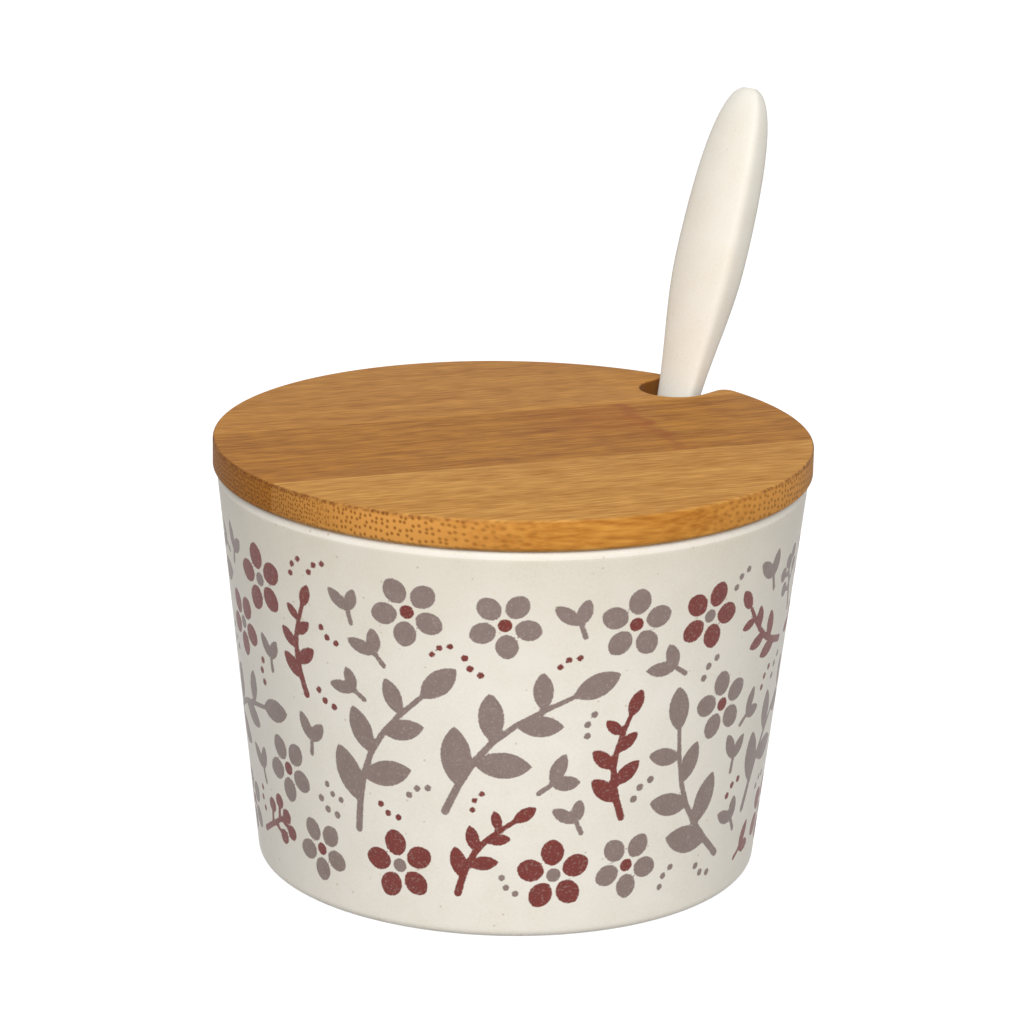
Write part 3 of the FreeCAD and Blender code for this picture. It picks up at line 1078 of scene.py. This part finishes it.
@dataclass
class Lid:
    """The lid: a turned disc with a plug and a notch, sawn along its glue lines. Lengths in millimetres."""

    radius: float = 55.4
    seat_height: float = 75.1
    thickness: float = 5.75
    bevel_inset: float = 0.5
    bevel_height: float = 0.7
    bevel_bow: float = 1.6
    plug_depth: float = 3.0
    plug_radius: float = 49.77
    plug_ease_share: float = 1 / 3
    edge_round: float = 0.5
    notch_edge_round: float = 0.3
    notch_azimuth: float = 49.9
    notch_half_width: float = 6.8
    notch_depth: float = 14.2
    notch_ease: float = 2.0
    # Inset from the lid's edge where the painted shade in the notch begins
    notch_shade_inset: float = 1.1
    grain_azimuth: float = 20.5
    front_glue_line: float = -18.3
    rear_glue_line: float = 15.5
    disc_points: int = 240
    ease_points: int = 8
    notch_points: int = 33
    arc_steps: int = 5
    sharp_degrees: float = 30.0

    @property
    def top(self) -> float:
        """Height of the lid's top."""
        return self.seat_height + self.thickness

    def outline(self, radius: float, half_width: float, ease: float) -> list[Pair]:
        """Draws the lid's outline at one level, with the notch towards +X.

        Args:
            radius: Radius of the disc.
            half_width: Half the width of the notch.
            ease: Radius of the rounded corners at the notch's mouth.

        Returns:
            Points in order, always as many.
        """
        end_x = self.radius - self.notch_depth + self.notch_half_width
        lip_y = half_width + ease
        lip_x = math.sqrt((radius - ease) ** 2 - lip_y ** 2)
        lip_turn = math.atan2(lip_y, lip_x)
        arcs = (
            (0.0, 0.0, radius, np.linspace(lip_turn, FULL_TURN - lip_turn, self.disc_points)),
            (lip_x, -lip_y, ease, np.linspace(-lip_turn, QUARTER_TURN, self.ease_points)[1:]),
            (end_x, 0.0, half_width, np.linspace(-QUARTER_TURN, -3 * QUARTER_TURN, self.notch_points)),
            (lip_x, lip_y, ease, np.linspace(-QUARTER_TURN, lip_turn, self.ease_points)[:-1]),
        )
        return [
            (x + size * math.cos(turn), y + size * math.sin(turn))
            for x, y, size, turns in arcs
            for turn in turns
        ]

    def levels(self) -> list[tuple[float, float, float, float]]:
        """Lists the levels of the disc from its top to the bottom of its plug.

        Returns:
            The disc's radius, the notch's half width and ease, and the height of each level.
        """
        levels = []
        shares = [step / self.arc_steps for step in range(self.arc_steps + 1)]
        for share in shares:
            inset, drop = 1 - math.sin(QUARTER_TURN * share), 1 - math.cos(QUARTER_TURN * share)
            half_width = self.notch_half_width + self.notch_edge_round * inset
            height = self.top - self.edge_round * drop
            levels.append((self.radius - self.edge_round * inset, half_width, self.notch_ease, height))
        for share in shares:
            radius = self.radius - self.bevel_inset * share ** self.bevel_bow
            height = self.seat_height + self.bevel_height * (1 - share)
            levels.append((radius, self.notch_half_width, self.notch_ease, height))
        bottom = self.seat_height - self.plug_depth
        for radius, height in (
            (self.plug_radius, self.seat_height),
            (self.plug_radius, bottom + self.edge_round),
            (self.plug_radius - self.edge_round, bottom),
        ):
            levels.append((radius, self.notch_half_width, self.notch_ease * self.plug_ease_share, height))
        return levels

    def blank(self) -> Draft:
        """Makes the whole disc before it is parted into staves.

        Returns:
            The closed disc, in the making.
        """
        draft = bmesh.new()
        turn = Matrix.Rotation(math.radians(self.notch_azimuth), 4, "Z")
        loops = skin(
            draft,
            [
                [turn @ Vector((x, y, height)) for x, y in self.outline(radius, half_width, ease)]
                for radius, half_width, ease, height in self.levels()
            ],
        )
        caps = [draft.faces.new(loops[0]), draft.faces.new(reversed(loops[-1]))]
        for cap in caps:
            cap.normal_update()
        bmesh.ops.triangulate(draft, faces=caps)
        return draft

    def stave(self, name: str, near: float | None, far: float | None) -> bpy.types.Mesh:
        """Cuts one stave out of the disc.

        Args:
            name: Name of the mesh.
            near: Place of the glue line on its front side, or None at the lid's edge.
            far: Place of the glue line on its rear side, or None at the lid's edge.

        Returns:
            The stave's closed mesh.
        """
        draft = self.blank()
        azimuth = math.radians(self.grain_azimuth)
        across = Vector((-math.sin(azimuth), math.cos(azimuth), 0))
        for place, outwards in ((near, -across), (far, across)):
            if place is None:
                continue
            bmesh.ops.bisect_plane(
                draft,
                geom=draft.verts[:] + draft.edges[:] + draft.faces[:],
                plane_co=across * place,
                plane_no=outwards,
                clear_outer=True,
            )
            bmesh.ops.holes_fill(draft, edges=[edge for edge in draft.edges if edge.is_boundary])
        return finish_mesh(draft, name, self.sharp_degrees)

    def build(self) -> list[bpy.types.Object]:
        """Makes the three staves in place of the plain ones.

        Returns:
            The staves, from front to rear.
        """
        front = {"outer_tone": "#BC8A4E", "dense_across": -30.0, "dense_strength": 1.0}
        middle = {
            "tone": "#C48737",
            "streak": "#935A22",
            "outer_tone": "#AD7632",
            "bundle": "#5E3813",
            "offset": 170.0,
            "culm_node": CulmNode(along=27.0),
            "dense_strength": 1.0,
        }
        rear = {"tone": "#D29646", "streak": "#A86C2B", "offset": -240.0}
        staves = []
        for side, near, far, looks in (
            ("front", None, self.front_glue_line, front),
            ("middle", self.front_glue_line, self.rear_glue_line, middle),
            ("rear", self.rear_glue_line, None, rear),
        ):
            node = f"lid_{side}_stave"
            finish = LaminatedBamboo(
                f"bamboo_laminated_sanded_{side}",
                grain_azimuth=self.grain_azimuth,
                seat=self.seat_height,
                top=self.top,
                notch_reach=self.radius - self.notch_shade_inset,
                **looks,
            )
            stave = add_piece(f"{node}_sanded", self.stave(f"{node}_sanded", near, far), finish)
            staves.append(take_place(stave, node, "lid"))
        return staves


def bend(start: Vector, pull: Vector, end: Vector, share: float) -> Vector:
    """Gives a point of the curve that leaves its start for a pulling point and bends to its end."""
    rest = 1 - share
    return start * rest ** 2 + pull * 2 * share * rest + end * share ** 2


@dataclass(frozen=True)
class SpoonSection:
    """One section across the spoon, in millimetres: out of the back and across.

    The front and back faces have their middles at front and back and their corners at front_edge and
    back_edge. The sides bulge by side to the half width, and ease is the round of the corners.
    """

    station: float
    half: float
    side: float
    front: float
    front_edge: float
    back_edge: float
    back: float
    ease: float
    most_ease: float = 0.3
    face_points: int = 11
    side_points: int = 5
    corner_shares: Sequence[float] = (0.25, 0.5, 0.75)

    def ring(self) -> list[Vector]:
        """Draws the section with rounded corners.

        Returns:
            The points round it.
        """
        corner = self.half - self.side
        middle = (self.front_edge + self.back_edge) / 2
        corners = [
            Vector((self.front_edge, -corner)),
            Vector((self.front_edge, corner)),
            Vector((self.back_edge, corner)),
            Vector((self.back_edge, -corner)),
        ]
        bulges = ((self.front, 0), (middle, self.half), (self.back, 0), (middle, -self.half))
        counts = (self.face_points, self.side_points) * 2
        faces = []
        for start, end, bulge, count in zip(corners, corners[1:] + corners[:1], bulges, counts):
            pull = 2 * Vector(bulge) - (start + end) / 2
            trim = min(self.ease / (end - start).length, self.most_ease)
            faces.append([bend(start, pull, end, share) for share in np.linspace(trim, 1 - trim, count)])
        points = []
        for face, following, turn in zip(faces, faces[1:] + faces[:1], corners[1:] + corners[:1]):
            points += face
            points += [bend(face[-1], turn, following[0], share) for share in self.corner_shares]
        return points


@dataclass
class Spoon:
    """The spoon: a dished scoop, a flat neck and a swelling handle, in millimetres from the toe."""

    length: float = 138.9
    scoop_length: float = 40.0
    scoop_width: float = 26.0
    scoop_depth: float = 6.0
    scoop_wall: float = 2.2
    scoop_lip: float = 1.3
    heel_width: float = 13.6
    neck_start: float = 54.0
    neck_end: float = 72.0
    neck_width: float = 8.0
    neck_thickness: float = 4.8
    belly_station: float = 106.0
    belly_width: float = 13.9
    belly_thickness: float = 8.8
    end_fullness: float = 2.55
    toe_radius: float = 24.2
    toe_height: float = 5.3
    # The sizes of a handle section, from its side to its ease, as shares of its thickness
    handle_shares: Sequence[float] = (0.035, -0.5, -0.335, 0.335, 0.5, 0.14)
    lip_share: float = 0.08
    lip_ease: float = 0.3
    scoop_turns: range = range(4, 137, 6)
    swell_steps: int = 8
    end_turns: Sequence[float] = (12, 24, 36, 48, 59, 69, 77, 83)
    skin_steps: int = 3
    sharp_degrees: float = 60.0

    def solid(self, station: float, width: float, thickness: float) -> SpoonSection:
        """Gives a section of the handle."""
        return SpoonSection(station, width / 2, *(share * thickness for share in self.handle_shares))

    def dished(self, station: float, width: float, depth: float) -> SpoonSection:
        """Gives a section of the scoop.

        Args:
            station: Its distance from the toe.
            width: Its width.
            depth: Depth of its hollow below its edges.

        Returns:
            The section.
        """
        lip, dip = self.scoop_lip, depth - self.scoop_lip
        faces = (dip, -lip, 0.0, dip + self.scoop_wall)
        return SpoonSection(station, width / 2, self.lip_share * lip, *faces, self.lip_ease * lip)

    def sections(self) -> list[SpoonSection]:
        """Lists the sections from the toe to the end of the handle.

        Returns:
            The sections of scoop, heel, neck and handle.
        """
        sections = []
        for angle in self.scoop_turns:
            turn = math.radians(angle)
            oval = math.sin(turn)
            station = self.scoop_length / 2 * (1 - math.cos(turn))
            sections.append(self.dished(station, self.scoop_width * oval, self.scoop_depth * oval ** 2))
        sections.append(self.dished(self.scoop_length, self.heel_width, self.scoop_lip))
        heel_middle = (self.scoop_length + self.neck_start) / 2
        heel_width = self.neck_width + (self.heel_width - self.neck_width) / 4
        sections.append(self.solid(heel_middle, heel_width, self.neck_thickness))
        for station in (self.neck_start, (self.neck_start + self.neck_end) / 2, self.neck_end):
            sections.append(self.solid(station, self.neck_width, self.neck_thickness))
        for share in np.linspace(0, 1, self.swell_steps + 1)[1:]:
            swell = (1 - math.cos(math.pi * share)) / 2
            station = self.neck_end + share * (self.belly_station - self.neck_end)
            width = self.neck_width + (self.belly_width - self.neck_width) * swell
            thickness = self.neck_thickness + (self.belly_thickness - self.neck_thickness) * swell
            sections.append(self.solid(station, width, thickness))
        for angle in self.end_turns:
            share = math.sin(math.radians(angle))
            taper = (1 - share ** self.end_fullness) ** (1 / self.end_fullness)
            station = self.belly_station + share * (self.length - self.belly_station)
            sections.append(self.solid(station, self.belly_width * taper, self.belly_thickness * taper))
        return sections

    def stance(self) -> Matrix:
        """Places the standing spoon, with its lean taken from the joint that it slides on.

        Returns:
            The way from the spoon's own axes to the frame's.
        """
        axis = next(Vector(joint["axis"]) for joint in frame["joints"] if joint["name"] == "spoon_lift")
        azimuth, lean = math.atan2(axis.y, axis.x), math.acos(axis.z / axis.length)
        toe_x, toe_y = self.toe_radius * math.cos(azimuth), self.toe_radius * math.sin(azimuth)
        turn = Matrix.Rotation(azimuth, 4, "Z") @ Matrix.Rotation(lean, 4, "Y")
        return Matrix.Translation((toe_x, toe_y, self.toe_height)) @ turn

    def rings(self) -> np.ndarray:
        """Lays a smooth skin through the sections.

        Returns:
            Points by ring, place in the ring and axis, in the spoon's own axes.
        """
        sections = self.sections()
        stations = np.array([section.station for section in sections])
        known = np.array([[(*point, section.station) for point in section.ring()] for section in sections])
        slopes = np.gradient(known, stations, axis=0)
        rings = []
        for index, span in enumerate(np.diff(stations)):
            for share in np.arange(self.skin_steps) / self.skin_steps:
                rest = 1 - share
                rings.append(
                    known[index] * (1 + 2 * share) * rest ** 2
                    + known[index + 1] * (1 + 2 * rest) * share ** 2
                    + slopes[index] * span * share * rest ** 2
                    - slopes[index + 1] * span * rest * share ** 2
                )
        return np.array([*rings, known[-1]])

    def mesh(self) -> bpy.types.Mesh:
        """Skins the sections and closes both ends.

        Returns:
            The spoon's mesh.
        """
        stance = self.stance()
        draft = bmesh.new()
        loops = skin(draft, [[stance @ Vector(point) for point in ring] for ring in self.rings()])
        draft.faces.new(reversed(loops[0]))
        draft.faces.new(loops[-1])
        return finish_mesh(draft, "spoon_moulded", self.sharp_degrees)

    def build(self) -> bpy.types.Object:
        """Makes the soft-edged spoon in place of the plain one.

        Returns:
            The spoon.
        """
        finish = MouldedFibre(
            "bamboo_fibre_moulded_plain",
            colour="#F0ECE1",
            cloud="#ECE5D6",
            fleck="#E2D6C0",
            fleck_share=0.08,
            roughness=0.55,
            sheen=0.3,
        )
        return take_place(add_piece("spoon_moulded", self.mesh(), finish), "spoon", "spoon")


@dataclass
class Studio:
    """The camera, the soft light, the white surround and the floor. Lengths are in metres."""

    camera_place: Place = (0.0, -0.74744, 0.28668)
    camera_aim: Place = (0.0, 0.0, 0.06604)
    camera_roll: float = 1.139
    lens: float = 147.66
    sensor: float = 36.0
    floor_size: float = 8.0
    surround: float = 0.37
    key_power: float = 20.0
    key_place: Place = (0.05, -1.25, 0.95)
    key_aim: Place = (0.0, 0.0, 0.05)
    key_size: float = 0.9

    def stand(
        self, data: bpy.types.ID, place: Place, target: Place, roll: float = 0.0
    ) -> bpy.types.Object:
        """Stands a camera or lamp at a place and points it at a target.

        Args:
            data: The camera or lamp, which gives the name.
            place: Where it stands.
            target: What it points at.
            roll: Turn about its own axis, in degrees.

        Returns:
            The new object.
        """
        piece = bpy.data.objects.new(data.name, data)
        bpy.context.scene.collection.objects.link(piece)
        look = (Vector(target) - Vector(place)).to_track_quat("-Z", "Y").to_matrix().to_4x4()
        piece.matrix_world = Matrix.Translation(place) @ look @ Matrix.Rotation(math.radians(roll), 4, "Z")
        return piece

    def build(self) -> None:
        """Sets up the camera, the light, the surround and the floor."""
        scene = bpy.context.scene
        scene.view_settings.view_transform = "Standard"
        camera = bpy.data.cameras.new("camera")
        camera.lens = self.lens
        camera.sensor_width = self.sensor
        scene.camera = self.stand(camera, self.camera_place, self.camera_aim, self.camera_roll)
        key = bpy.data.lights.new("key_softbox", "AREA")
        key.shape = "DISK"
        key.size = self.key_size
        key.energy = self.key_power
        self.stand(key, self.key_place, self.key_aim)
        world = bpy.data.worlds.new("studio_surround")
        world.use_nodes = True
        scene.world = world
        tree = world.node_tree
        tree.nodes.clear()
        level = add_node(tree, "MapRange", (seen_directly(tree), 0.0, 1.0, self.surround, 1.0))
        sky = add_node(tree, "Background", {"Color": (1.0, 1.0, 1.0, 1.0), "Strength": level})
        add_node(tree, "OutputWorld", {"Surface": sky})
        half = self.floor_size / 2
        corners = [(-half, -half, 0), (half, -half, 0), (half, half, 0), (-half, half, 0)]
        mesh = bpy.data.meshes.new("floor")
        mesh.from_pydata(corners, [], [(0, 1, 2, 3)])
        floor = add_piece("floor", mesh, PaperFloor("paper_rolled_matt"))


def main() -> None:
    """Builds the dish and the studio."""
    logging.basicConfig(level=logging.INFO, format="%(name)s: %(message)s")
    pieces = [Bowl().build(), *Lid().build(), Spoon().build()]
    for piece in pieces:
        LOG.info("%s: %d faces", piece.name, len(piece.data.polygons))
    Studio().build()


if __name__ == "__main__":
    main()
